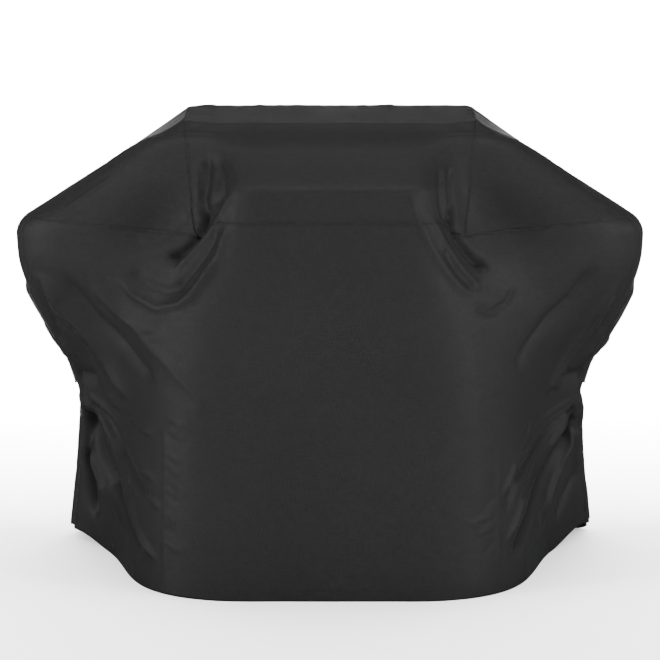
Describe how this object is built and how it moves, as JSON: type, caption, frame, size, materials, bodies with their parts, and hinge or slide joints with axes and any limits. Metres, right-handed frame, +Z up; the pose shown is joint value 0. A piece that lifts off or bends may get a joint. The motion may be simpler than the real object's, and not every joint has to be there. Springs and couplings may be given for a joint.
{
  "type": "grill cover",
  "caption": "Fitted cloth cover for a gas grill with side shelves: hood, sloping shoulders, taped seams, and buckled cinch straps at the waist.",
  "frame": {"origin": "middle of the cover's footprint, at the hem", "axes": "+X towards the right side as seen from the front, +Y from front to back, +Z up"},
  "size_m": [1.4376, 0.6811, 1.085],
  "materials": {
    "cover_cloth": "woven polyester with a soft sheen",
    "seam_tape": "smooth coated tape",
    "webbing": "ribbed webbing",
    "buckle_plastic": "moulded, satin"
  },
  "bodies": {
    "cover": {"hood_panel": "cover_cloth", "left_shoulder_panel": "cover_cloth", "right_shoulder_panel": "cover_cloth", "front_panel": "cover_cloth", "left_side_panel": "cover_cloth", "right_side_panel": "cover_cloth", "back_panel": "cover_cloth", "front_hem": "cover_cloth", "back_hem": "cover_cloth", "left_side_hem": "cover_cloth", "right_side_hem": "cover_cloth", "ridge_seam_tape": "seam_tape", "front_seam_tape": "seam_tape", "left_shoulder_seam_tape": "seam_tape", "right_shoulder_seam_tape": "seam_tape", "left_hood_seam_tape": "seam_tape", "right_hood_seam_tape": "seam_tape", "left_side_seam_tape": "seam_tape", "right_side_seam_tape": "seam_tape", "left_front_strap": "webbing", "left_rear_strap": "webbing", "left_buckle_socket": "buckle_plastic", "right_front_strap": "webbing", "right_rear_strap": "webbing", "right_buckle_socket": "buckle_plastic"},
    "left_plug": {"left_buckle_plug": "buckle_plastic", "left_strap_tail": "webbing"},
    "left_upper_latch": {"left_upper_latch_arm": "buckle_plastic"},
    "left_lower_latch": {"left_lower_latch_arm": "buckle_plastic"},
    "right_plug": {"right_buckle_plug": "buckle_plastic", "right_strap_tail": "webbing"},
    "right_upper_latch": {"right_upper_latch_arm": "buckle_plastic"},
    "right_lower_latch": {"right_lower_latch_arm": "buckle_plastic"}
  },
  "joints": [
    {"name": "left_plug_slide", "type": "slide", "parent": "cover", "child": "left_plug", "axis": [0, 1, 0], "range_m": [0, 0.04], "deforming": ["left_rear_strap", "left_upper_latch_arm", "left_lower_latch_arm"]},
    {"name": "left_upper_latch_pinch", "type": "hinge", "parent": "left_plug", "child": "left_upper_latch", "pos_m": [-0.62924, 0.1615, 0.46875], "axis": [0.9524, 0, 0.3048], "range_deg": [0, 12], "stiffness_Nm_per_rad": 0.8},
    {"name": "left_lower_latch_pinch", "type": "hinge", "parent": "left_plug", "child": "left_lower_latch", "pos_m": [-0.61552, 0.1615, 0.42589], "axis": [-0.9524, 0, -0.3048], "range_deg": [0, 12], "stiffness_Nm_per_rad": 0.8},
    {"name": "right_plug_slide", "type": "slide", "parent": "cover", "child": "right_plug", "axis": [0, 1, 0], "range_m": [0, 0.04], "deforming": ["right_rear_strap", "right_upper_latch_arm", "right_lower_latch_arm"]},
    {"name": "right_upper_latch_pinch", "type": "hinge", "parent": "right_plug", "child": "right_upper_latch", "pos_m": [0.62924, 0.1615, 0.46875], "axis": [0.9524, 0, -0.3048], "range_deg": [0, 12], "stiffness_Nm_per_rad": 0.8},
    {"name": "right_lower_latch_pinch", "type": "hinge", "parent": "right_plug", "child": "right_lower_latch", "pos_m": [0.61552, 0.1615, 0.42589], "axis": [-0.9524, 0, 0.3048], "range_deg": [0, 12], "stiffness_Nm_per_rad": 0.8}
  ],
  "couplings": [
    {"joint": "left_lower_latch_pinch", "follows": "left_upper_latch_pinch", "ratio": 1},
    {"joint": "right_lower_latch_pinch", "follows": "right_upper_latch_pinch", "ratio": 1}
  ]
}
